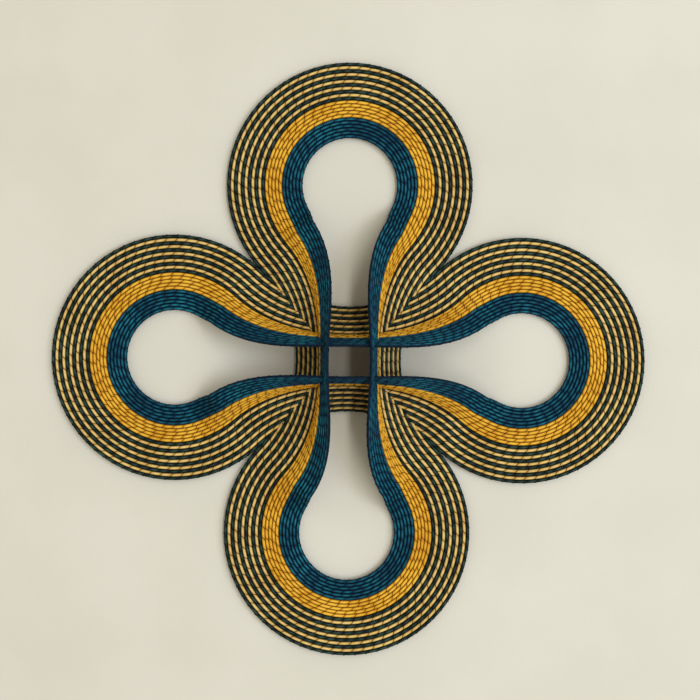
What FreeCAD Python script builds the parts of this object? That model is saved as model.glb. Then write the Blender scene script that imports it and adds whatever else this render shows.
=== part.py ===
# A wall relief of looped cords: an upright and a crosswise band, each of closed cord loops laid
# side by side. Each band makes a flat round lobe at both ends. On the way to the middle a band
# turns on edge, and there the loops of the two bands lie on each other in turn, one crosswise,
# one upright, pressed flat where they cross.
#
# Millimetres. The wall is the plane y = 0 and the front looks toward -Y, with +Z up.
# Working axes of a band: u across it, v along it from the middle, h out from the wall.
import FreeCAD
import Part
import math
import os

Vector = FreeCAD.Vector

# Cord and lay
CORD_DIAMETER = 2.94
LAY_GAP = 0.06
PITCH = CORD_DIAMETER + LAY_GAP

# Stripes of one band, from its outer edge inward: colour and number of cords
STRIPES = [("teal", 1), ("cream", 1)] * 5 + [("teal", 1), ("yellow", 5), ("blue", 6)]

# Outermost loop, to the cord's axis: lobe radius, and half the distance between its two legs
# at the middle. The lobes of the two bands lie side by side on the diagonals, which sets how
# far a lobe's centre is from the middle.
LOBE_RADIUS = 105.9
LEG_HALF_SPACING = 44.4
LOBE_REACH = math.sqrt(2.0) * (LOBE_RADIUS + PITCH / 2)

# How far each cord is turned up about the cord outside it at the middle, in degrees. The
# upright band stands steeper there, and so it is the narrower and higher of the two.
UPRIGHT_ANGLE_OUTER = 47.0
UPRIGHT_ANGLE_YELLOW = 88.0
UPRIGHT_ANGLE_BLUE = 74.5
CROSSWISE_ANGLE_OUTER = 38.0
CROSSWISE_ANGLE_YELLOW = 82.0
CROSSWISE_ANGLE_BLUE = 74.5

# Where the turning starts, as a length of the outermost cord back into the lobe from the place
# where its leg leaves the lobe circle: for the first and the last of the outer cords, and for
# the yellow and the blue ones. A higher power gives the turn a slower start.
TURN_LEAD_FIRST = 33.0
TURN_LEAD_LAST = 2.0
TURN_LEAD_YELLOW = 42.0
TURN_LEAD_BLUE = 18.0
TURN_POWER = 1.5

# Height of the upright band's outermost cord over the crosswise one's, as a share of a level
UPRIGHT_LIFT = 0.5

# Fineness of the route: stations that a leg's arcs pass through, and steps between them
LEG_STATIONS = 8
STATION_STEPS = 16
LEG_STEPS = LEG_STATIONS * STATION_STEPS

# Extra reach of a pressed flat past the place where two cords would touch
PRESS_MARGIN = 0.8


def stripe_colours():
    """Colour of every cord, from the outside in."""
    return [colour for colour, count in STRIPES for _ in range(count)]


COLOURS = stripe_colours()
CORDS = len(COLOURS)
OUTER_CORDS = COLOURS.index("yellow")
UPRIGHT_ANGLES = {
    "teal": UPRIGHT_ANGLE_OUTER,
    "cream": UPRIGHT_ANGLE_OUTER,
    "yellow": UPRIGHT_ANGLE_YELLOW,
    "blue": UPRIGHT_ANGLE_BLUE,
}
CROSSWISE_ANGLES = {
    "teal": CROSSWISE_ANGLE_OUTER,
    "cream": CROSSWISE_ANGLE_OUTER,
    "yellow": CROSSWISE_ANGLE_YELLOW,
    "blue": CROSSWISE_ANGLE_BLUE,
}


def blend_radius():
    """Radius of the outer leg's arc, tangent to the lobe circle and to the leg's middle."""
    rise = LOBE_REACH**2 - (LOBE_RADIUS**2 - LEG_HALF_SPACING**2)
    return rise / (2.0 * (LOBE_RADIUS - LEG_HALF_SPACING))


BLEND_RADIUS = blend_radius()
BLEND_CENTRE = LEG_HALF_SPACING + BLEND_RADIUS
BLEND_ANGLE = math.atan2(LOBE_REACH, BLEND_CENTRE)
BLEND_LENGTH = BLEND_RADIUS * BLEND_ANGLE
LONGEST_LEAD = max(TURN_LEAD_FIRST, TURN_LEAD_LAST, TURN_LEAD_YELLOW, TURN_LEAD_BLUE)
LEG_LENGTH = BLEND_LENGTH + LONGEST_LEAD
LOBE_EXIT_ANGLE = LONGEST_LEAD / LOBE_RADIUS - BLEND_ANGLE


def outer_leg_point(s):
    """Point of the outermost axis in plan, s along it from the middle, and its inward side."""
    if s <= BLEND_LENGTH:
        turn = s / BLEND_RADIUS
        inward = Vector(-math.cos(turn), math.sin(turn), 0)
        centre = Vector(BLEND_CENTRE, 0, 0)
        return centre + inward * BLEND_RADIUS, inward
    polar = (s - BLEND_LENGTH) / LOBE_RADIUS - BLEND_ANGLE
    inward = Vector(-math.cos(polar), -math.sin(polar), 0)
    centre = Vector(0, LOBE_REACH, 0)
    return centre - inward * LOBE_RADIUS, inward


def turn_lead(cord):
    """How far back in the lobe a cord starts to turn about the cord outside it."""
    if COLOURS[cord] == "yellow":
        return TURN_LEAD_YELLOW
    if COLOURS[cord] == "blue":
        return TURN_LEAD_BLUE
    share = (cord - 1) / (OUTER_CORDS - 2)
    return TURN_LEAD_FIRST + (TURN_LEAD_LAST - TURN_LEAD_FIRST) * share


def edge_turn(angles, cord, s):
    """Angle by which a cord is turned up about the cord outside it, in radians."""
    start = BLEND_LENGTH + turn_lead(cord)
    grown = max(0.0, 1.0 - (s / start) ** 2) ** TURN_POWER
    return math.radians(angles[COLOURS[cord]]) * grown


def leg_tangent(points, i):
    """Unit direction of travel toward the middle at point i of a leg."""
    before = points[max(i - 1, 0)]
    after = points[min(i + 1, len(points) - 1)]
    if i == len(points) - 1:
        mirrored = Vector(before.x, -before.y, before.z)
        return (mirrored - before).normalize()
    if i == 0:
        radial = Vector(points[0].x, points[0].y - LOBE_REACH, 0)
        return Vector(radial.y, -radial.x, 0).normalize()
    return (after - before).normalize()


def leg_routes(angles, lift):
    """Axis points (u, v, h) of every cord's leg, from the lobe to the middle.

    Each cord lies beside the cord outside it, in the planes square to the outermost leg, and
    far enough off that the two just touch all the way while the band turns on edge. lift is
    the share of a level by which the whole band stands off.
    """
    stations = [LEG_LENGTH * (1.0 - i / LEG_STEPS) for i in range(LEG_STEPS + 1)]
    outer = []
    for s in stations:
        point, _ = outer_leg_point(s)
        level = PITCH * math.sin(edge_turn(angles, 1, s))
        outer.append(point + Vector(0, 0, CORD_DIAMETER / 2 + lift * level))
    routes = [outer]
    for cord in range(1, CORDS):
        last = routes[-1]
        points = []
        for i, s in enumerate(stations):
            _, inward = outer_leg_point(s)
            turn = edge_turn(angles, cord, s)
            aside = inward * math.cos(turn) + Vector(0, 0, math.sin(turn))
            lean = aside.dot(leg_tangent(last, i))
            points.append(last[i] + aside * (PITCH / math.sqrt(1.0 - lean**2)))
        routes.append(points)
    return routes


def arc_face(rim, point, direction, target):
    """Sweep a rim circle along the arc that starts in a direction and ends at a target.

    Returns the swept face, the moved rim and the direction of travel at the target.
    """
    chord = target - point
    across = chord - direction * chord.dot(direction)
    if across.Length < 1e-6 * chord.Length:
        return rim.extrude(chord), rim.translated(chord), direction
    across.normalize()
    radius = chord.Length**2 / (2.0 * chord.dot(across))
    centre = point + across * radius
    axis = direction.cross(across).normalize()
    angle = math.degrees(2.0 * math.asin(chord.Length / (2.0 * radius)))
    face = rim.revolve(centre, axis, angle)
    moved = rim.rotated(centre, axis, angle)
    turned = FreeCAD.Rotation(axis, angle).multVec(direction)
    return face, moved, turned


def biarc_joint(p0, t0, p1, t1):
    """Point where two tangent arcs meet that join p0 along t0 to p1 along t1."""
    span = p1 - p0
    both = t0 + t1
    spread = 2.0 * (1.0 - t0.dot(t1))
    reach = span.dot(both)
    if spread < 1e-9:
        length = span.dot(span) / (4.0 * span.dot(t1))
    else:
        length = (math.sqrt(reach**2 + spread * span.dot(span)) - reach) / spread
    return (p0 + p1 + (t0 - t1) * length) * 0.5


def quarter_cord(cord, route):
    """A quarter of a cord loop, from the far end of the lobe to the middle of a leg."""
    radius = LOBE_RADIUS - cord * PITCH
    height = route[0].z
    start = Vector(0, LOBE_REACH + radius, height)
    rim = Part.Circle(start, Vector(1, 0, 0), CORD_DIAMETER / 2).toShape()
    faces = [Part.Face(Part.Wire(rim))]
    lobe_centre = Vector(0, LOBE_REACH, height)
    sweep = math.degrees(math.pi / 2 - LOBE_EXIT_ANGLE)
    axis = Vector(0, 0, -1)
    faces.append(rim.revolve(lobe_centre, axis, sweep))
    rim = rim.rotated(lobe_centre, axis, sweep)
    point = route[0]
    direction = leg_tangent(route, 0)
    for i in range(STATION_STEPS, LEG_STEPS + 1, STATION_STEPS):
        target = route[i]
        joint = biarc_joint(point, direction, target, leg_tangent(route, i))
        for goal in (joint, target):
            face, rim, direction = arc_face(rim, point, direction, goal)
            faces.append(face)
            point = goal
    faces.append(Part.Face(Part.Wire(rim)))
    return solid_of(faces)


def solid_of(faces):
    """Closed solid of faces that meet edge to edge."""
    sheet = Part.Compound(faces)
    sheet.sewShape()
    solid = Part.Solid(sheet.Shells[0])
    if solid.Volume < 0:
        solid.reverse()
    return solid


def plan_distance(a, b):
    """Distance of two points seen from the front."""
    return math.hypot(a.x - b.x, a.y - b.y)


def transposed(route):
    """The same leg in the other band: u and v change places."""
    return [Vector(p.y, p.x, p.z) for p in route]


def pressed_flat(first, second):
    """Where two cords cross: place, level and reach of their flat, or None if they don't.

    The last value tells whether the first cord is the upper one there.
    """
    near = [(a, b) for a in first for b in second if (a - b).Length < PITCH]
    if not near:
        return None
    a, b = min(near, key=lambda pair: plan_distance(*pair))
    place = (a + b) * 0.5
    reach = max(plan_distance(place, p) for pair in near for p in pair)
    return place, reach + PRESS_MARGIN, a.z > b.z


def press_cutter(place, reach, upward):
    """Round block that takes away what lies above or below a pressed flat."""
    depth = 2.0 * CORD_DIAMETER
    direction = Vector(0, 0, 1 if upward else -1)
    return Part.makeCylinder(reach, depth, place, direction)


def full_loop(quarter):
    """Closed loop from its quarter, mirrored across both middle planes."""
    tiny = 1e-5
    skin = []
    for face in quarter.Faces:
        box = face.BoundBox
        at_lobe_end = box.XLength < tiny and abs(box.XMin) < tiny
        at_middle = box.YLength < tiny and abs(box.YMin) < tiny
        if not (at_lobe_end or at_middle):
            skin.append(face)
    half = skin + [face.mirror(Vector(), Vector(1, 0, 0)) for face in skin]
    return solid_of(half + [face.mirror(Vector(), Vector(0, 1, 0)) for face in half])


def hung(loop, crosswise):
    """Turn a loop from working axes to the wall: front toward -Y, +Z up."""
    shape = loop.copy()
    shape.rotate(Vector(), Vector(1, 0, 0), 90)
    if crosswise:
        shape.rotate(Vector(), Vector(0, 1, 0), 90)
    return shape


def band_loops(routes, presses):
    """Every loop of a band, pressed flat where the other band crosses it."""
    loops = []
    for cord, route in enumerate(routes):
        solid = quarter_cord(cord, route)
        if presses[cord]:
            solid = solid.cut(Part.Compound(presses[cord]))
        loops.append(full_loop(solid.Solids[0]))
    return loops


def main():
    """Build both bands and write each cord loop to its own file."""
    os.makedirs("parts", exist_ok=True)
    upright = leg_routes(UPRIGHT_ANGLES, UPRIGHT_LIFT)
    crosswise = leg_routes(CROSSWISE_ANGLES, 0.0)
    upright_presses = [[] for _ in range(CORDS)]
    crosswise_presses = [[] for _ in range(CORDS)]
    for cord in range(CORDS):
        crossing = transposed(upright[cord])
        for other in range(CORDS):
            flat = pressed_flat(crossing, crosswise[other])
            if flat is None:
                continue
            place, reach, upright_on_top = flat
            turned = Vector(place.y, place.x, place.z)
            crosswise_presses[other].append(press_cutter(place, reach, upright_on_top))
            upright_presses[cord].append(press_cutter(turned, reach, not upright_on_top))
    bands = [
        ("upright", band_loops(upright, upright_presses), False),
        ("crosswise", band_loops(crosswise, crosswise_presses), True),
    ]
    for band, loops, is_crosswise in bands:
        for cord, loop in enumerate(loops):
            name = f"{band}_loop_{cord + 1:02d}_{COLOURS[cord]}"
            hung(loop, is_crosswise).exportStep(f"parts/{name}.step")


if __name__ == "__main__":
    main()
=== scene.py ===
"""Looks of the looped cord wall relief: wound cords, binding thread, wall, light and camera.

Working axes of a band, in millimetres: u across it, v along it from the middle, h out from the
wall. Blender's axes, in metres: the wall is the plane y = 0, the front looks toward -Y, +Z is up.
"""

import logging
import math
from dataclasses import dataclass, field
from enum import Enum

import bpy
import numpy as np
from numpy.typing import NDArray
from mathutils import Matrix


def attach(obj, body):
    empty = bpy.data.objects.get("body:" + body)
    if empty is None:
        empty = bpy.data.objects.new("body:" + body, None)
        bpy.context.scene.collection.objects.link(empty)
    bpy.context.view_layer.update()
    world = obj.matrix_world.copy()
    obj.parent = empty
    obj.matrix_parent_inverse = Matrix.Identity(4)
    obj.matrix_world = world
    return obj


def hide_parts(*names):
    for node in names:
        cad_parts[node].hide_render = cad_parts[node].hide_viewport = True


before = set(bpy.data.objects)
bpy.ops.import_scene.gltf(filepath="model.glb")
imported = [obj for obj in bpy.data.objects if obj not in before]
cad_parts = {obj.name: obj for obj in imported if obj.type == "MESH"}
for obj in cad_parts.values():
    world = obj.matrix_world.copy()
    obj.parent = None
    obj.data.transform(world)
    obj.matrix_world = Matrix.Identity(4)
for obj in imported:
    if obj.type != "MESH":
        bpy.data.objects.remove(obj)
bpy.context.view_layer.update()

LOG = logging.getLogger("relief")
MM = 0.001
Array = NDArray[np.float64]


class Stripe(Enum):
    """Colour of a cord, as its node's name gives it."""

    TEAL = "teal"
    CREAM = "cream"
    YELLOW = "yellow"
    BLUE = "blue"


class Band(Enum):
    """The two bands of loops that cross in the middle."""

    UPRIGHT = "upright"
    CROSSWISE = "crosswise"


STRIPE_ORDER = (
    [Stripe.TEAL, Stripe.CREAM] * 5 + [Stripe.TEAL] + [Stripe.YELLOW] * 5 + [Stripe.BLUE] * 6
)


def node_name(band: Band, cord: int) -> str:
    """Name of a cord's CAD node.

    Args:
        band: Band of the cord.
        cord: Index of the cord, counted inward from the outermost.

    Returns:
        The node's name.
    """
    return f"{band.value}_loop_{cord + 1:02d}_{STRIPE_ORDER[cord].value}"


@dataclass(frozen=True)
class CordSize:
    """Sizes of one cord and of its lay beside the next, in millimetres.

    Args:
        diameter: Thickness of the cord.
        lay_gap: Free space to the next cord.
        waist: How much the thread narrows the cord's radius.
        sides: Corners of its section.
        step: Length of cord from one section to the next.
        facet_fill: Growth of the section that makes up for its flat facets.
    """

    diameter: float = 2.94
    lay_gap: float = 0.06
    waist: float = 0.06
    sides: int = 10
    step: float = 2.0
    facet_fill: float = 1.05

    @property
    def radius(self) -> float:
        """Half the diameter."""
        return self.diameter / 2

    @property
    def pitch(self) -> float:
        """Distance from one cord's axis to the next."""
        return self.diameter + self.lay_gap


@dataclass(frozen=True)
class ThreadSize:
    """Sizes of the thread that binds each cord, in millimetres.

    Args:
        diameter: Thickness of the thread.
        lead: Mean length of cord that one turn takes.
        lead_swing: How far the lead swings from cord to cord, as a share of it.
        swing_step: Step of that swing from one cord to the next, in radians.
        swing_start: Where the swing starts at the outermost cord, in radians.
        steps_per_turn: Rings of thread in one turn.
        sides: Corners of the thread's section.
        sunk: How deep the thread lies in the cord.
        upright_start: Start of the upright band's threads, in turns.
    """

    diameter: float = 0.56
    lead: float = 9.2
    lead_swing: float = 0.07
    swing_step: float = 2.4
    swing_start: float = 0.7
    steps_per_turn: int = 8
    sides: int = 3
    sunk: float = 0.12
    upright_start: float = 0.31

    def turns(self, cord: int, length: float) -> int:
        """Whole turns round a loop, with a lead that swings a little from cord to cord.

        Args:
            cord: Index of the cord.
            length: Length of its loop.

        Returns:
            The number of turns.
        """
        swing = math.sin(self.swing_step * cord + self.swing_start)
        return int(round(length / (self.lead * (1.0 + self.lead_swing * swing))))

    def phase(self, band: Band, cord: int) -> float:
        """Where the thread starts, so that no two cords side by side line up.

        Args:
            band: Band of the cord.
            cord: Index of the cord.

        Returns:
            The start, as a share of a turn.
        """
        golden = (math.sqrt(5.0) - 1.0) / 2.0
        start = self.upright_start if band is Band.UPRIGHT else 0.0
        return (golden * cord + start) % 1.0


@dataclass(frozen=True)
class TurnOnEdge:
    """How far a stripe of cords is turned up about the cord outside it.

    Args:
        angle: Turn at the middle of the band, in degrees.
        start_outer: Where the stripe's outermost cord starts to turn, along the outermost leg.
        start_inner: The same for the stripe's innermost cord.
        first: Index of the stripe's outermost cord.
        last: Index of the stripe's innermost cord.
        fall: Power with which the turn falls off away from the middle.
    """

    angle: float
    start_outer: float
    start_inner: float
    first: int
    last: int
    fall: float = 1.5

    def at(self, cord: int, s: Array) -> Array:
        """Turn of a cord in radians at distance s from the middle.

        The turn falls from its full angle at the middle to none at the start as one less the
        square of the share of the way, raised to the power of the fall.

        Args:
            cord: Index of the cord.
            s: Distances along the outermost leg.

        Returns:
            The turn at each distance.
        """
        share = (cord - self.first) / max(self.last - self.first, 1)
        start = self.start_outer + (self.start_inner - self.start_outer) * share
        return math.radians(self.angle) * np.clip(1.0 - (s / start) ** 2, 0.0, 1.0) ** self.fall


@dataclass
class BandForm:
    """Run of every cord axis of a band, from its lobe to the middle of its leg.

    The outermost leg is an arc of the lobe and an arc that bends back to run straight at the
    middle. Each further cord lies one pitch inside the one before, turned up on edge.

    Args:
        outer_angle: Turn on edge of the outer cords at the middle, in degrees.
        yellow_angle: The same for the yellow cords.
        blue_angle: The same for the blue cords.
        lift: Share of one level by which the whole band stands off the wall.
        cord: Sizes of its cords.
        lobe_radius: Radius of the outermost cord's axis in the lobe.
        leg_half_spacing: Half the distance between the outermost cord's legs at the middle.
        lead_first: How far past the leg's bend the outer stripe's first cord starts to turn.
        lead_last: The same for its last cord.
        lead_yellow: The same for the yellow cords.
        lead_blue: The same for the blue cords.
        stations: Steps along a leg.
        lobe_step: Length of a step along the outermost lobe arc.
    """

    outer_angle: float
    yellow_angle: float
    blue_angle: float
    lift: float
    cord: CordSize = field(default_factory=CordSize)
    lobe_radius: float = 105.9
    leg_half_spacing: float = 44.4
    lead_first: float = 33.0
    lead_last: float = 2.0
    lead_yellow: float = 42.0
    lead_blue: float = 18.0
    stations: int = 254
    lobe_step: float = 1.0

    def __post_init__(self) -> None:
        """Work out the outermost leg's arcs and the turns of the three stripes."""
        self.lobe_reach = math.sqrt(2.0) * (self.lobe_radius + self.cord.pitch / 2)
        rise = self.lobe_reach**2 - (self.lobe_radius**2 - self.leg_half_spacing**2)
        self.bend_radius = rise / (2.0 * (self.lobe_radius - self.leg_half_spacing))
        self.bend_centre = self.leg_half_spacing + self.bend_radius
        self.bend_angle = math.atan2(self.lobe_reach, self.bend_centre)
        self.bend_length = self.bend_radius * self.bend_angle
        self.cords = len(STRIPE_ORDER)
        first_yellow = STRIPE_ORDER.index(Stripe.YELLOW)
        first_blue = STRIPE_ORDER.index(Stripe.BLUE)
        first, last, yellow, blue = (
            self.bend_length + lead
            for lead in (self.lead_first, self.lead_last, self.lead_yellow, self.lead_blue)
        )
        self.turns = (
            TurnOnEdge(self.outer_angle, first, last, 1, first_yellow - 1),
            TurnOnEdge(self.yellow_angle, yellow, yellow, first_yellow, first_blue - 1),
            TurnOnEdge(self.blue_angle, blue, blue, first_blue, self.cords - 1),
        )
        self.leg_start = max(turn.start_outer for turn in self.turns)

    def turn(self, cord: int, s: Array) -> Array:
        """Turn of any cord; the outermost takes that of the cord inside it.

        Args:
            cord: Index of the cord.
            s: Distances along the outermost leg.

        Returns:
            The turn at each distance, in radians.
        """
        cord = max(cord, 1)
        return next(turn.at(cord, s) for turn in self.turns if turn.first <= cord <= turn.last)

    def legs(self) -> list[Array]:
        """Axis points of each cord's leg, from the lobe to the middle.

        A cord's point lies from the point of the cord outside it along the direction
        e = inward x cos(turn) + outward x sin(turn), taken in the plane square to the outermost
        leg, at one pitch divided by the root of one less the square of how far e leans along
        that cord's own run. So the cords touch all the way.

        Returns:
            One array of (u, v, h) for each cord.
        """
        s = self.leg_start * np.linspace(1.0, 0.0, self.stations + 1)
        bent = s <= self.bend_length
        bend = s / self.bend_radius
        polar = (s - self.bend_length) / self.lobe_radius - self.bend_angle
        u = np.where(
            bent,
            self.bend_centre - self.bend_radius * np.cos(bend),
            self.lobe_radius * np.cos(polar),
        )
        v = np.where(
            bent,
            self.bend_radius * np.sin(bend),
            self.lobe_reach + self.lobe_radius * np.sin(polar),
        )
        inward = np.stack(
            [
                np.where(bent, -np.cos(bend), -np.cos(polar)),
                np.where(bent, np.sin(bend), -np.sin(polar)),
                np.zeros_like(s),
            ],
            axis=1,
        )
        outward = np.array([0.0, 0.0, 1.0])
        level = self.cord.pitch * np.sin(self.turn(0, s))
        routes = [np.stack([u, v, self.cord.radius + self.lift * level], axis=1)]
        for cord in range(1, self.cords):
            last = routes[-1]
            run = np.gradient(last, axis=0)
            run[0] = (inward[0, 1], -inward[0, 0], 0.0)
            run[-1] = (0.0, -1.0, 0.0)
            run /= np.linalg.norm(run, axis=1, keepdims=True)
            turn = self.turn(cord, s)[:, None]
            aside = inward * np.cos(turn) + outward * np.sin(turn)
            lean = np.sum(aside * run, axis=1, keepdims=True)
            routes.append(last + aside * self.cord.pitch / np.sqrt(1.0 - lean**2))
        return routes

    def loop(self, cord: int, leg: Array) -> Array:
        """Closed axis of a cord: lobe arc and leg, mirrored across both middle planes.

        Args:
            cord: Index of the cord.
            leg: Its leg, from the lobe to the middle.

        Returns:
            Points (u, v, h) round the loop, without the first one again at the end.
        """
        radius = self.lobe_radius - cord * self.cord.pitch
        exit_angle = math.atan2(leg[0, 1] - self.lobe_reach, leg[0, 0])
        count = int((math.pi / 2 - exit_angle) * self.lobe_radius / self.lobe_step)
        polar = np.linspace(math.pi / 2, exit_angle, count, endpoint=False)
        arc = np.stack(
            [
                radius * np.cos(polar),
                self.lobe_reach + radius * np.sin(polar),
                np.full(count, leg[0, 2]),
            ],
            axis=1,
        )
        quarter = np.concatenate([arc, leg])
        below = quarter[::-1] * (1.0, -1.0, 1.0)
        half = np.concatenate([quarter[:-1], below])
        left = half[::-1] * (-1.0, 1.0, 1.0)
        return np.concatenate([half[:-1], left[:-1]])


Flat = tuple[Array, float, bool]


@dataclass
class PressedFlats:
    """The flats where cords of the two bands lie on each other.

    The cord that stands higher where two cross lies over the other. Each flat is a place
    (u, v, h) in the first quarter of its band, a reach, and whether the cord is over there.

    Args:
        cord: Sizes of the cords.
        margin: How far a flat reaches past the touching length.
        rim: How much it gives way at its rim.
        rim_power: Power with which it gives way toward the rim.
        spread: How far the indexes of two cords that can touch lie apart at most.
        flats: The flats of each cord of each band, once found.
    """

    cord: CordSize = field(default_factory=CordSize)
    margin: float = 0.8
    rim: float = 1.2
    rim_power: int = 6
    spread: int = 4
    flats: dict[Band, list[list[Flat]]] = field(default_factory=dict)

    def find(self, upright: list[Array], crosswise: list[Array]) -> None:
        """Collect the flats of every pair of cords that come nearer than one pitch.

        Args:
            upright: Legs of the upright band.
            crosswise: Legs of the crosswise band.
        """
        cords = len(STRIPE_ORDER)
        self.flats = {band: [[] for _ in range(cords)] for band in Band}
        for cord in range(cords):
            across = upright[cord][:, [1, 0, 2]]
            for other in range(max(0, cord - self.spread), min(cords, cord + self.spread + 1)):
                self._meet(cord, across, other, crosswise[other])

    def _meet(self, cord: int, across: Array, other: int, run: Array) -> None:
        """Add the flat of one pair, if the two come near enough.

        Args:
            cord: Index of the upright cord.
            across: Its leg with u and v changed over.
            other: Index of the crosswise cord.
            run: The crosswise leg.
        """
        gap = np.linalg.norm(across[:, None] - run[None], axis=2)
        a, b = np.nonzero(gap < self.cord.pitch)
        if len(a) == 0:
            return
        plan = np.linalg.norm(across[a, :2] - run[b, :2], axis=1)
        nearest = int(np.argmin(plan))
        place = (across[a[nearest]] + run[b[nearest]]) / 2
        reach = self.margin + max(
            float(np.linalg.norm(points[:, :2] - place[:2], axis=1).max())
            for points in (across[a], run[b])
        )
        upright_over = bool(across[a[nearest], 2] > run[b[nearest], 2])
        self.flats[Band.UPRIGHT][cord].append((place[[1, 0, 2]], reach, upright_over))
        self.flats[Band.CROSSWISE][other].append((place, reach, not upright_over))

    def press(self, band: Band, cord: int, points: Array) -> Array:
        """Push points of a cord back to its flats, which give way a little toward their rims.

        Args:
            band: Band of the cord.
            cord: Index of the cord.
            points: Points (u, v, h) on the cord or its thread.

        Returns:
            The points, none beyond a flat.
        """
        pressed = points.copy()
        for place, reach, over in self.flats[band][cord]:
            away = np.hypot(abs(points[..., 0]) - place[0], abs(points[..., 1]) - place[1])
            share = away / reach
            give = self.rim * share**self.rim_power
            inside = share < 1.0
            if over:
                level = np.maximum(pressed[..., 2], place[2] - give)
            else:
                level = np.minimum(pressed[..., 2], place[2] + give)
            pressed[..., 2] = np.where(inside, level, pressed[..., 2])
        return pressed


def spread_along(values: Array, lengths: Array, at: Array) -> Array:
    """Read vectors off between the lengths at which they are known, in straight lines.

    Args:
        values: One vector (three numbers) for each length.
        lengths: Those lengths, rising.
        at: Lengths to read at.

    Returns:
        One vector for each of them.
    """
    return np.stack([np.interp(at, lengths, values[:, axis]) for axis in range(3)], axis=1)


def hang(points: Array, band: Band) -> Array:
    """Turn working axes into Blender's: (u, v, h) to (u, -h, v), and for the crosswise band on
    to (v, -h, -u), in metres.

    Args:
        points: Points (u, v, h) in millimetres.
        band: Band that they belong to.

    Returns:
        Points (x, y, z) in metres.
    """
    u, v, h = points[..., 0], points[..., 1], points[..., 2]
    placed = (u, -h, v) if band is Band.UPRIGHT else (v, -h, -u)
    return np.stack(placed, axis=-1) * MM


@dataclass
class Axis:
    """A closed cord axis, evenly divided, with a frame that never turns about it.

    Args:
        points: Points of the axis.
        side: Unit vectors square to the run, in the wall's plane.
        front: Unit vectors square to both.
        share: Share of the length at each point.
        length: Length of the whole loop.
        toward: Unit vectors toward each neighbour.
    """

    points: Array
    side: Array
    front: Array
    share: Array
    length: float
    toward: list[Array]

    @staticmethod
    def along(
        loop: Array, neighbours: list[Array], count: int | None = None, step: float = 1.0
    ) -> "Axis":
        """Divide a closed line evenly.

        The side vector is square to the run and lies in the wall's plane, and the front vector
        is the run crossed with it.

        Args:
            loop: Points round the loop.
            neighbours: Loops of the cords beside it, point for point.
            count: Number of divisions, or None to take it from the step.
            step: Wanted length of a division.

        Returns:
            The divided axis, with the unit directions toward the neighbours.
        """
        closed = np.concatenate([loop, loop[:1]])
        lengths = np.concatenate([[0.0], np.cumsum(np.linalg.norm(np.diff(closed, axis=0), axis=1))])
        length = float(lengths[-1])
        count = count or int(round(length / step))
        share = np.arange(count) / count
        at = share * length
        points = spread_along(closed, lengths, at)
        toward = []
        for other in neighbours:
            away = np.concatenate([other - loop, (other - loop)[:1]])
            away = spread_along(away, lengths, at)
            toward.append(away / np.linalg.norm(away, axis=1, keepdims=True))
        run = np.roll(points, -1, axis=0) - np.roll(points, 1, axis=0)
        run /= np.linalg.norm(run, axis=1, keepdims=True)
        side = np.stack([-run[:, 1], run[:, 0], np.zeros(count)], axis=1)
        side /= np.linalg.norm(side, axis=1, keepdims=True)
        return Axis(points, side, np.cross(run, side), share, length, toward)


def ring_faces(rings: int, sides: int) -> NDArray[np.int32]:
    """Four-cornered faces of a closed tube: ring i and side j meet ring i+1 and side j+1.

    Args:
        rings: Number of rings.
        sides: Points in each ring.

    Returns:
        Point numbers of each face.
    """
    i, j = np.meshgrid(np.arange(rings), np.arange(sides), indexing="ij")
    nexti, nextj = (i + 1) % rings, (j + 1) % sides
    corners = (i * sides + j, nexti * sides + j, nexti * sides + nextj, i * sides + nextj)
    return np.stack(corners, axis=-1).reshape(-1, 4).astype(np.int32)


def ring_uvs(rings: int, sides: int, turns: float, phase: float = 0.0) -> Array:
    """Corner coordinates of a tube's faces: turns of thread along the cord, and share round it.

    Args:
        rings: Number of rings.
        sides: Points in each ring.
        turns: Turns of thread round the whole loop.
        phase: Turns at the first ring.

    Returns:
        Two numbers for each corner of each face.
    """
    i, j = np.meshgrid(np.arange(rings), np.arange(sides), indexing="ij")
    along = np.stack([i, i + 1, i + 1, i], axis=-1) * (turns / rings) + phase
    around = np.stack([j, j, j + 1, j + 1], axis=-1) / sides
    return np.stack([along, around], axis=-1).reshape(-1, 2)


def make_piece(name: str, points: Array, faces: NDArray[np.int32], uvs: Array) -> bpy.types.Object:
    """Make a smooth-shaded mesh object at the origin.

    Args:
        name: Name of the piece.
        points: Vertices in metres.
        faces: Four-cornered faces.
        uvs: Corner coordinates, one for each face corner.

    Returns:
        The new object.
    """
    mesh = bpy.data.meshes.new(name)
    mesh.from_pydata(points.reshape(-1, 3), [], faces)
    layer = mesh.uv_layers.new(name="lay")
    layer.uv.foreach_set("vector", uvs.astype(np.float32).ravel())
    mesh.polygons.foreach_set("use_smooth", np.ones(len(mesh.polygons), bool))
    mesh.update()
    piece = bpy.data.objects.new(name, mesh)
    bpy.context.scene.collection.objects.link(piece)
    return piece


Colour = tuple[float, float, float]
Span = tuple[float, float]

# Places of the sockets on a Mix node that mixes colours.
MIX_SHARE = 0
MIX_FIRST = 6
MIX_SECOND = 7
MIX_RESULT = 2


@dataclass(frozen=True)
class Noise:
    """Fineness of a noise: its scale, and the number of finer layers in it."""

    scale: float
    detail: float


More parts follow.
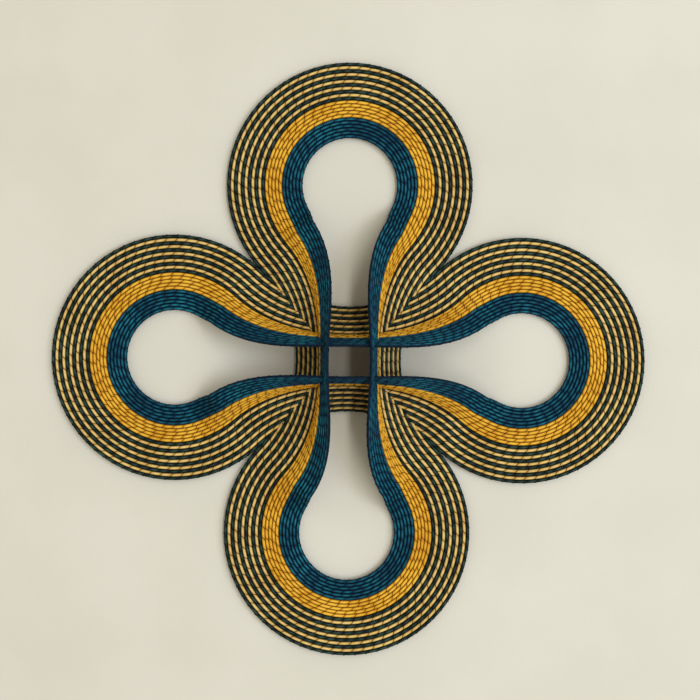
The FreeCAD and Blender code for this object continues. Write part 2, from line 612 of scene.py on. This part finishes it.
class Channel:
    """A socket that can be used in arithmetic; every operation adds a Math node."""

    def __init__(self, tree: "Tree", socket: bpy.types.NodeSocket) -> None:
        """Wrap a socket of a tree."""
        self.tree = tree
        self.socket = socket

    def _math(self, operation: str, *operands: "Channel | float") -> "Channel":
        """Add a Math node of that operation on these operands."""
        node = self.tree.node("ShaderNodeMath", {"operation": operation}, dict(enumerate(operands)))
        return Channel(self.tree, node.outputs[0])

    def __add__(self, other: "Channel | float") -> "Channel":
        """Sum."""
        return self._math("ADD", self, other)

    __radd__ = __add__

    def __sub__(self, other: "Channel | float") -> "Channel":
        """Difference."""
        return self._math("SUBTRACT", self, other)

    def __rsub__(self, other: "Channel | float") -> "Channel":
        """Difference from a number."""
        return self._math("SUBTRACT", other, self)

    def __mul__(self, other: "Channel | float") -> "Channel":
        """Product."""
        return self._math("MULTIPLY", self, other)

    def __abs__(self) -> "Channel":
        """Size without sign."""
        return self._math("ABSOLUTE", self)

    def fraction(self) -> "Channel":
        """Part past the whole number below."""
        return self._math("FRACT", self)

    def sine(self) -> "Channel":
        """Sine of an angle in radians."""
        return self._math("SINE", self)

    def cosine(self) -> "Channel":
        """Cosine of an angle in radians."""
        return self._math("COSINE", self)

    def ramp(self, span: Span) -> "Channel":
        """Smooth step from 0 to 1.

        Args:
            span: Value at which it leaves 0, and value at which it comes to 1.

        Returns:
            The step's value.
        """
        low, high = span
        node = self.tree.node(
            "ShaderNodeMapRange",
            {"interpolation_type": "SMOOTHSTEP"},
            {"Value": self, "From Min": low, "From Max": high},
        )
        return Channel(self.tree, node.outputs["Result"])


class Tree:
    """Node tree of one material."""

    def __init__(self, name: str) -> None:
        """Start an empty material."""
        self.material = bpy.data.materials.new(name)
        self.material.use_nodes = True
        self.material.node_tree.nodes.clear()

    def node(self, kind: str, settings: dict | None = None, inputs: dict | None = None) -> bpy.types.Node:
        """Add a node: its settings first, then the values or links of its sockets.

        Args:
            kind: Type of the node.
            settings: Properties by name.
            inputs: Numbers, colours or channels by socket name or index.

        Returns:
            The node.
        """
        node = self.material.node_tree.nodes.new(kind)
        for name, value in (settings or {}).items():
            setattr(node, name, value)
        for key, value in (inputs or {}).items():
            socket = node.inputs[key]
            if isinstance(value, Channel):
                self.material.node_tree.links.new(value.socket, socket)
            elif isinstance(value, tuple) and len(value) == 3 and socket.type == "RGBA":
                socket.default_value = (*value, 1.0)
            else:
                socket.default_value = value
        return node

    def channel(self, node: bpy.types.Node, output: str | int = 0) -> Channel:
        """One output of a node, by its name or place."""
        return Channel(self, node.outputs[output])

    def blend(self, share: Channel, first: Colour | Channel, second: Colour | Channel) -> Channel:
        """Colour between two colours.

        Args:
            share: Share of the second, from 0 to 1.
            first: Colour at 0.
            second: Colour at 1.

        Returns:
            The mixed colour.
        """
        inputs = {MIX_SHARE: share, MIX_FIRST: first, MIX_SECOND: second}
        return self.channel(self.node("ShaderNodeMix", {"data_type": "RGBA"}, inputs), MIX_RESULT)

    def noise(self, place: Channel, grain: Noise) -> Channel:
        """Smooth noise about 0.5 at a place.

        Args:
            place: Where to read it.
            grain: Its fineness.

        Returns:
            The noise's value.
        """
        inputs = {"Vector": place, "Scale": grain.scale, "Detail": grain.detail}
        return self.channel(self.node("ShaderNodeTexNoise", None, inputs), "Fac")

    def place(self) -> Channel:
        """Place on the object, in metres from its origin."""
        return self.channel(self.node("ShaderNodeTexCoord"), "Object")

    def finish(self, shader: bpy.types.Node) -> bpy.types.Material:
        """Join a shader to the material's output."""
        self.node("ShaderNodeOutputMaterial", None, {"Surface": self.channel(shader)})
        return self.material


@dataclass(frozen=True)
class CordGrain:
    """Drawing that all cords share: the thread's line, the fibre streaks and the bump.

    Args:
        thread_side: Distances from the thread's line, in turns, over which the cord opens up, both in the
            bump and in the painted shade beside the thread.
        half_lead: The same from the line to midway between two of its turns, over which the painted
            highlight on each swell between turns grows.
        sides: Tucks over which the painted highlight along a cord's front and back fades out toward its
            sides.
        touching: Tucks over which the cord turns to its painted shade, the shade that falls where two
            cords touch.
        fibre_along: Steps of the fibre noise along one turn of thread.
        fibre_round: The same for the radius of one round of the cord.
        fibre: Noise of the fibres.
        tone: Noise of the slow change of tone.
        fibre_part: Weight of the fibres in the streaks.
        tone_part: Weight of the tone in them.
        open_height: Share of the bump that the thread's line makes.
        strength: Strength of the bump.
        roughness_swing: How much the fibres change the roughness.
    """

    thread_side: Span = (0.01, 0.085)
    half_lead: Span = (0.0, 0.5)
    sides: Span = (0.0, 0.8)
    touching: Span = (0.35, 0.92)
    fibre_along: float = 1.6
    fibre_round: float = 2.4
    fibre: Noise = Noise(2.2, 4.0)
    tone: Noise = Noise(38.0, 3.0)
    fibre_part: float = 1.3
    tone_part: float = 1.1
    open_height: float = 0.75
    strength: float = 0.8
    roughness_swing: float = 0.25


@dataclass(frozen=True)
class CordFinish:
    """Finish of a wound cord: satin fibres that swell between turns of dark thread, with painted
    highlights on each swell and along its front and back, and painted shade beside the thread and where
    cords touch.

    Args:
        stripe: Colour name.
        body: Main colour.
        fibre_and_highlight_colour: Colour of the paler fibres and of the painted highlights.
        shade: Colour of the painted shade beside the thread and deep between two cords.
        tuck_shade_share: How far the colour turns to the painted shade where two cords touch.
        pale: Streak values over which the paler fibres and the painted highlights come to show.
        bulge_highlight: How much painted highlight the cord takes midway between two turns of thread,
            where it swells.
        crest_highlight: How much painted highlight it takes along its front and back, away from its
            sides.
        colour_kept_in_thread_shade: Share of its own colour that a cord keeps right beside the thread,
            under the painted shade there.
        roughness: Mean roughness.
        gloss: Specular level.
        waist_depth: Depth of the bump at the waist, in metres.
        grain: Drawing of the streaks and the bump.
    """

    stripe: Stripe
    body: Colour
    fibre_and_highlight_colour: Colour
    shade: Colour
    tuck_shade_share: float = 0.8
    pale: Span = (-0.15, 0.55)
    bulge_highlight: float = 0.35
    crest_highlight: float = 0.0
    colour_kept_in_thread_shade: float = 0.25
    roughness: float = 0.6
    gloss: float = 0.12
    waist_depth: float = 0.0002
    grain: CordGrain = CordGrain()

    def material(self) -> bpy.types.Material:
        """Build the material.

        The helix coordinate is turns along the cord plus the share round it, so a whole number
        is the line of the thread. Fibre streaks are noise drawn out along the cord, and painted
        highlights are added midway between turns and along the cord's front and back. The tuck
        attribute is the cosine of the angle from a neighbour, one where two cords touch; painted
        shade darkens the cord there and right beside the thread.

        Returns:
            The finished material.
        """
        tree, grain = Tree(f"cord_{self.stripe.value}"), self.grain
        lay = tree.channel(tree.node("ShaderNodeUVMap", {"uv_map": "lay"}), "UV")
        parts = tree.node("ShaderNodeSeparateXYZ", None, {0: lay})
        along, around = tree.channel(parts, "X"), tree.channel(parts, "Y")
        tuck = tree.channel(tree.node("ShaderNodeAttribute", {"attribute_name": "tuck"}), "Fac")
        from_thread = abs((along + around + 0.5).fraction() - 0.5)
        open_run = from_thread.ramp(grain.thread_side)

        angle = around * (2 * math.pi)
        drawn = tree.node(
            "ShaderNodeCombineXYZ",
            None,
            {
                "X": along * grain.fibre_along,
                "Y": angle.sine() * grain.fibre_round,
                "Z": angle.cosine() * grain.fibre_round,
            },
        )
        fibre = tree.noise(tree.channel(drawn, "Vector"), grain.fibre)
        tone = tree.noise(tree.place(), grain.tone)
        fibre_and_highlight = (fibre - 0.5) * grain.fibre_part + (tone - 0.5) * grain.tone_part
        # painted highlight on each swell midway between two turns of thread
        fibre_and_highlight = fibre_and_highlight + from_thread.ramp(grain.half_lead) * self.bulge_highlight
        # painted highlight along the cord's front and back, fading toward its sides
        fibre_and_highlight = fibre_and_highlight + (1 - tuck.ramp(grain.sides)) * self.crest_highlight

        colour = tree.blend(fibre_and_highlight.ramp(self.pale), self.body, self.fibre_and_highlight_colour)
        # painted shade right beside the thread
        colour = tree.blend(open_run * (1 - self.colour_kept_in_thread_shade) + self.colour_kept_in_thread_shade, self.shade, colour)
        # painted shade where two cords touch
        colour = tree.blend(tuck.ramp(grain.touching) * self.tuck_shade_share, colour, self.shade)
        height = open_run * grain.open_height + fibre * (1 - grain.open_height)
        bump = tree.node(
            "ShaderNodeBump",
            None,
            {"Strength": grain.strength, "Distance": self.waist_depth, "Height": height},
        )
        shader = tree.node(
            "ShaderNodeBsdfPrincipled",
            None,
            {
                "Base Color": colour,
                "Roughness": self.roughness + (fibre - 0.5) * grain.roughness_swing,
                "Normal": tree.channel(bump, "Normal"),
                "Specular IOR Level": self.gloss,
            },
        )
        return tree.finish(shader)


@dataclass(frozen=True)
class ThreadFinish:
    """Finish of the binding thread: dark, finely twisted.

    Args:
        stripe: Colour name of the cords it binds.
        colour: Main colour.
        roughness: Roughness.
        gloss: Specular level.
        fuzz: Noise of the twist.
        fuzzy: Values of that noise over which the paler colour comes to show.
        pale_gain: How many times paler the paler colour is.
        pale_floor: What is added to it.
    """

    stripe: Stripe
    colour: Colour
    roughness: float = 0.7
    gloss: float = 0.1
    fuzz: Noise = Noise(1800.0, 2.0)
    fuzzy: Span = (0.35, 0.75)
    pale_gain: float = 1.8
    pale_floor: float = 0.004

    def material(self) -> bpy.types.Material:
        """Build the material.

        Returns:
            The finished material.
        """
        tree = Tree(f"thread_{self.stripe.value}")
        fuzz = tree.noise(tree.place(), self.fuzz)
        pale = tuple(self.pale_gain * part + self.pale_floor for part in self.colour)
        colour = tree.blend(fuzz.ramp(self.fuzzy), self.colour, pale)
        shader = tree.node(
            "ShaderNodeBsdfPrincipled",
            None,
            {"Base Color": colour, "Roughness": self.roughness, "Specular IOR Level": self.gloss},
        )
        return tree.finish(shader)


# Each finish's shade colour is painted shade between cords and beside the thread; its paler colour is
# both paler fibres and painted highlights.
CORD_FINISHES = (
    CordFinish(
        Stripe.TEAL,
        body=(0.004, 0.013, 0.012),
        fibre_and_highlight_colour=(0.034, 0.078, 0.062),
        shade=(0.001, 0.003, 0.003),
        tuck_shade_share=0.9,
        pale=(0.30, 1.20),
        bulge_highlight=0.55,
        crest_highlight=0.45,
    ),
    CordFinish(
        Stripe.CREAM,
        body=(0.60, 0.365, 0.092),
        fibre_and_highlight_colour=(0.85, 0.610, 0.212),
        shade=(0.045, 0.026, 0.010),
    ),
    CordFinish(
        Stripe.YELLOW,
        body=(0.64, 0.300, 0.014),
        fibre_and_highlight_colour=(0.91, 0.530, 0.050),
        shade=(0.20, 0.060, 0.004),
    ),
    CordFinish(
        Stripe.BLUE,
        body=(0.0006, 0.034, 0.068),
        fibre_and_highlight_colour=(0.010, 0.190, 0.268),
        shade=(0.0005, 0.007, 0.020),
        tuck_shade_share=0.9,
        pale=(0.32, 1.12),
        bulge_highlight=0.28,
        crest_highlight=0.65,
        colour_kept_in_thread_shade=0.5,
    ),
)

THREAD_FINISHES = (
    ThreadFinish(Stripe.TEAL, (0.003, 0.005, 0.005)),
    ThreadFinish(Stripe.CREAM, (0.030, 0.018, 0.008)),
    ThreadFinish(Stripe.YELLOW, (0.120, 0.042, 0.005)),
    ThreadFinish(Stripe.BLUE, (0.001, 0.008, 0.020)),
)

FORMS = {
    Band.UPRIGHT: BandForm(outer_angle=47.0, yellow_angle=88.0, blue_angle=74.5, lift=0.5),
    Band.CROSSWISE: BandForm(outer_angle=38.0, yellow_angle=82.0, blue_angle=74.5, lift=0.0),
}


@dataclass
class Relief:
    """The cord relief: both bands of wound cords, and the thread that binds them.

    Args:
        cord: Sizes of the cords.
        thread: Sizes of the thread.
        flats: The flats where the bands cross.
    """

    cord: CordSize = field(default_factory=CordSize)
    thread: ThreadSize = field(default_factory=ThreadSize)
    flats: PressedFlats = field(default_factory=PressedFlats)

    def build(self) -> None:
        """Build, dress and report every cord and thread."""
        cord_looks = {finish.stripe: finish.material() for finish in CORD_FINISHES}
        thread_looks = {finish.stripe: finish.material() for finish in THREAD_FINISHES}
        legs = {band: FORMS[band].legs() for band in Band}
        self.flats.find(legs[Band.UPRIGHT], legs[Band.CROSSWISE])
        for band in Band:
            loops = [FORMS[band].loop(cord, leg) for cord, leg in enumerate(legs[band])]
            windings: dict[Stripe, list[Array]] = {stripe: [] for stripe in Stripe}
            for cord, loop in enumerate(loops):
                beside = loops[max(cord - 1, 0) : cord] + loops[cord + 1 : cord + 2]
                piece, turns = self.wound_cord(band, cord, loop, beside)
                piece.data.materials.append(cord_looks[STRIPE_ORDER[cord]])
                windings[STRIPE_ORDER[cord]].append(self.winding(band, cord, loop, turns))
            for stripe, rings in windings.items():
                self.binding(band, stripe, rings).data.materials.append(thread_looks[stripe])

    def wound_cord(
        self, band: Band, cord: int, loop: Array, beside: list[Array]
    ) -> tuple[bpy.types.Object, int]:
        """Carry the cord's section along its axis.

        A point is the axis point plus radius x (side x cos + front x sin), where the radius
        shrinks by the waist toward the line of the thread. Its tuck is the greatest cosine of
        the angle between that radius and the way to a neighbour, where the outer side of the
        first and last cord counts as a neighbour too.

        Args:
            band: Band of the cord.
            cord: Index of the cord.
            loop: Its closed axis.
            beside: Axes of the cords on either side.

        Returns:
            The cord's piece and its number of thread turns.
        """
        size = self.cord
        axis = Axis.along(loop, beside, step=size.step)
        turns = self.thread.turns(cord, axis.length)
        phase = self.thread.phase(band, cord)
        around = np.arange(size.sides) / size.sides
        helix = 2 * math.pi * (axis.share[:, None] * turns + phase + around[None])
        radius = (size.radius * size.facet_fill - size.waist * (1 + np.cos(helix)) / 2)[..., None]
        angle = 2 * math.pi * around[None, :, None]
        section = axis.side[:, None] * np.cos(angle) + axis.front[:, None] * np.sin(angle)
        points = self.flats.press(band, cord, axis.points[:, None] + radius * section)
        # The tuck is the mask for the painted shade where cords touch and for the painted highlight along
        # the cord's front and back.
        ways = axis.toward if len(axis.toward) == 2 else [axis.toward[0], -axis.toward[0]]
        tuck = np.max([np.sum(section * way[:, None], axis=2) for way in ways], axis=0)
        rings = len(axis.share)
        name = node_name(band, cord)
        piece = make_piece(
            f"{name}_wound",
            hang(points, band),
            ring_faces(rings, size.sides),
            ring_uvs(rings, size.sides, turns, phase),
        )
        layer = piece.data.attributes.new("tuck", "FLOAT", "POINT")
        layer.data.foreach_set("value", np.clip(tuck, 0.0, 1.0).astype(np.float32).ravel())
        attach(piece, "root")
        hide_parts(name)
        LOG.info("%s: %d rings, %d turns of thread", piece.name, rings, turns)
        return piece, turns

    def winding(self, band: Band, cord: int, loop: Array, turns: int) -> Array:
        """Rings of the thread round one cord.

        The thread's centre is the axis point plus a radius at an angle that falls by one whole
        turn for each lead. Its own section is set square to that radius and to the run.

        Args:
            band: Band of the cord.
            cord: Index of the cord.
            loop: The cord's closed axis.
            turns: Number of turns round the loop.

        Returns:
            Points (rings, sides, 3) in metres.
        """
        size, thread = self.cord, self.thread
        axis = Axis.along(loop, [], count=turns * thread.steps_per_turn)
        angle = -2 * math.pi * (axis.share * turns + thread.phase(band, cord))
        out = axis.side * np.cos(angle)[:, None] + axis.front * np.sin(angle)[:, None]
        lie = size.radius * size.facet_fill - size.waist + thread.diameter / 2 - thread.sunk
        centre = axis.points + out * lie
        run = np.roll(centre, -1, axis=0) - np.roll(centre, 1, axis=0)
        run /= np.linalg.norm(run, axis=1, keepdims=True)
        across = np.cross(run, out)
        across /= np.linalg.norm(across, axis=1, keepdims=True)
        turn = 2 * math.pi * np.arange(thread.sides)[None, :, None] / thread.sides
        ring = out[:, None] * np.cos(turn) - across[:, None] * np.sin(turn)
        return hang(self.flats.press(band, cord, centre[:, None] + ring * thread.diameter / 2), band)

    def binding(self, band: Band, stripe: Stripe, rings: list[Array]) -> bpy.types.Object:
        """Join the thread of all cords of one colour into one piece.

        Args:
            band: Band of the cords.
            stripe: Their colour.
            rings: Thread rings of each cord.

        Returns:
            The piece.
        """
        counts = [len(each) for each in rings]
        starts = np.concatenate([[0], np.cumsum(counts)[:-1]]) * self.thread.sides
        faces = [
            ring_faces(count, self.thread.sides) + start for count, start in zip(counts, starts)
        ]
        uvs = [ring_uvs(count, self.thread.sides, float(count)) for count in counts]
        piece = make_piece(
            f"{band.value}_binding_{stripe.value}",
            np.concatenate([each.reshape(-1, 3) for each in rings]),
            np.concatenate(faces),
            np.concatenate(uvs),
        )
        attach(piece, "root")
        LOG.info("%s: %d rings", piece.name, sum(counts))
        return piece


@dataclass
class Wall:
    """The pale wall behind the relief, seen from the front only.

    Args:
        gap: Distance behind the relief's back plane, in metres.
        half_width: Half its width and height.
        colour: Colour of the paint.
        deep: Its darker colour.
        mottle: Noise between the two colours.
        mottled: Values of that noise over which the colour changes.
        grain: Noise of the paint's surface.
        strength: Strength of the bump.
        depth: Depth of the bump.
        roughness: Roughness of the paint.
        gloss: Its specular level.
    """

    gap: float = 0.004
    half_width: float = 2.5
    colour: Colour = (0.728, 0.716, 0.634)
    deep: Colour = (0.690, 0.678, 0.594)
    mottle: Noise = Noise(9.0, 6.0)
    mottled: Span = (0.3, 0.7)
    grain: Noise = Noise(420.0, 3.0)
    strength: float = 0.12
    depth: float = 0.001
    roughness: float = 0.9
    gloss: float = 0.2

    def build(self) -> None:
        """Build the wall and its faintly mottled paint, clear from behind."""
        w, y = self.half_width, self.gap
        corners = np.array([(-w, y, -w), (w, y, -w), (w, y, w), (-w, y, w)])
        uvs = np.array([(0.0, 0.0), (1.0, 0.0), (1.0, 1.0), (0.0, 1.0)])
        wall = make_piece("wall", corners, np.array([(0, 1, 2, 3)], np.int32), uvs)
        tree = Tree("wall_paint")
        place = tree.place()
        mottle = tree.noise(place, self.mottle).ramp(self.mottled)
        bump = tree.node(
            "ShaderNodeBump",
            None,
            {
                "Strength": self.strength,
                "Distance": self.depth,
                "Height": tree.noise(place, self.grain),
            },
        )
        paint = tree.node(
            "ShaderNodeBsdfPrincipled",
            None,
            {
                "Base Color": tree.blend(mottle, self.deep, self.colour),
                "Roughness": self.roughness,
                "Normal": tree.channel(bump, "Normal"),
                "Specular IOR Level": self.gloss,
            },
        )
        clear = tree.node("ShaderNodeBsdfTransparent")
        behind = tree.channel(tree.node("ShaderNodeNewGeometry"), "Backfacing")
        both = tree.node(
            "ShaderNodeMixShader",
            None,
            {0: behind, 1: tree.channel(paint), 2: tree.channel(clear)},
        )
        wall.data.materials.append(tree.finish(both))


@dataclass(frozen=True)
class Lamp:
    """An upright oblong area lamp that points at the relief's middle.

    Args:
        name: Name of the lamp.
        power: Power in watts.
        colour: Colour of its light.
        width: Width of the lamp, in metres.
        height: Its height.
        off_normal: Turn to the right of the wall's normal, in degrees.
        above_level: Rise over the relief's middle, in degrees.
        distance: From the relief's middle, in metres.
    """

    name: str
    power: float
    colour: Colour
    width: float
    height: float
    off_normal: float
    above_level: float
    distance: float = 3.0

    def build(self) -> None:
        """Hang the lamp and turn it to the middle."""
        turn, rise = math.radians(self.off_normal), math.radians(self.above_level)
        toward = (math.sin(turn) * math.cos(rise), -math.cos(turn) * math.cos(rise), math.sin(rise))
        light = bpy.data.lights.new(self.name, "AREA")
        light.shape = "RECTANGLE"
        light.size = self.width
        light.size_y = self.height
        light.energy = self.power
        light.color = self.colour
        lamp = bpy.data.objects.new(self.name, light)
        lamp.location = [self.distance * part for part in toward]
        lamp.rotation_euler = (-lamp.location).to_track_quat("-Z", "Y").to_euler()
        bpy.context.scene.collection.objects.link(lamp)


@dataclass
class Studio:
    """Soft warm room light, a tall strip lamp near the front and broad daylight from the right.

    Args:
        room_level: Strength of the room's own light.
        room_colour: Its colour.
        lamps: The lamps.
    """

    room_level: float = 0.56
    room_colour: Colour = (1.0, 0.915, 0.77)
    lamps: tuple[Lamp, ...] = (
        Lamp(
            "strip_lamp",
            power=42.0,
            colour=(1.0, 0.985, 0.95),
            width=0.34,
            height=4.4,
            off_normal=15.5,
            above_level=2.0,
        ),
        Lamp(
            "daylight",
            power=26.0,
            colour=(0.70, 0.82, 1.0),
            width=1.4,
            height=1.0,
            off_normal=38.0,
            above_level=0.0,
        ),
    )

    def build(self) -> None:
        """Set the world and the lamps."""
        world = bpy.data.worlds.new("room")
        world.use_nodes = True
        background = world.node_tree.nodes["Background"]
        background.inputs["Color"].default_value = (*self.room_colour, 1.0)
        background.inputs["Strength"].default_value = self.room_level
        bpy.context.scene.world = world
        for lamp in self.lamps:
            lamp.build()


@dataclass
class Viewpoint:
    """Camera square to the wall, with the relief off its axis as in the photograph.

    Args:
        distance: From the wall to the lens, in metres.
        right: Camera's place to the right of the relief's middle.
        above: Camera's place above it.
        lens: Focal length in millimetres.
        roll: Turn of the relief in the picture, clockwise, in degrees.
        middle_px: Place of the relief's middle from the picture's middle, right and down.
        picture_px: Width of the picture.
        sensor: Width of the sensor, in millimetres.
        far: Greatest distance that the camera sees, in metres.
    """

    distance: float = 1.053
    right: float = -0.017
    above: float = 0.045
    lens: float = 61.8
    roll: float = 0.55
    middle_px: tuple[float, float] = (-1.8, 8.9)
    picture_px: float = 700.0
    sensor: float = 36.0
    far: float = 20.0

    def build(self) -> None:
        """Make the camera and its shift.

        The relief's middle would stand at (-right, above) times pixels per metre, turned by the
        roll; the shift brings it to its place in the picture.
        """
        data = bpy.data.cameras.new("camera")
        data.lens = self.lens
        data.sensor_width = self.sensor
        scale = self.picture_px * self.lens / (self.sensor * self.distance)
        across, down = -self.right * scale, self.above * scale
        roll = math.radians(self.roll)
        stands = (
            across * math.cos(roll) - down * math.sin(roll),
            across * math.sin(roll) + down * math.cos(roll),
        )
        data.shift_x = (stands[0] - self.middle_px[0]) / self.picture_px
        data.shift_y = -(stands[1] - self.middle_px[1]) / self.picture_px
        data.clip_end = self.far
        camera = bpy.data.objects.new("camera", data)
        camera.location = (self.right, -self.distance, self.above)
        camera.rotation_euler = (math.pi / 2, -roll, 0.0)
        bpy.context.scene.collection.objects.link(camera)
        bpy.context.scene.camera = camera


def main() -> None:
    """Build the relief and its surroundings in order."""
    logging.basicConfig(level=logging.INFO, format="%(message)s")
    bpy.context.scene.view_settings.view_transform = "Standard"
    Viewpoint().build()
    Wall().build()
    Studio().build()
    Relief().build()


if __name__ == "__main__":
    main()
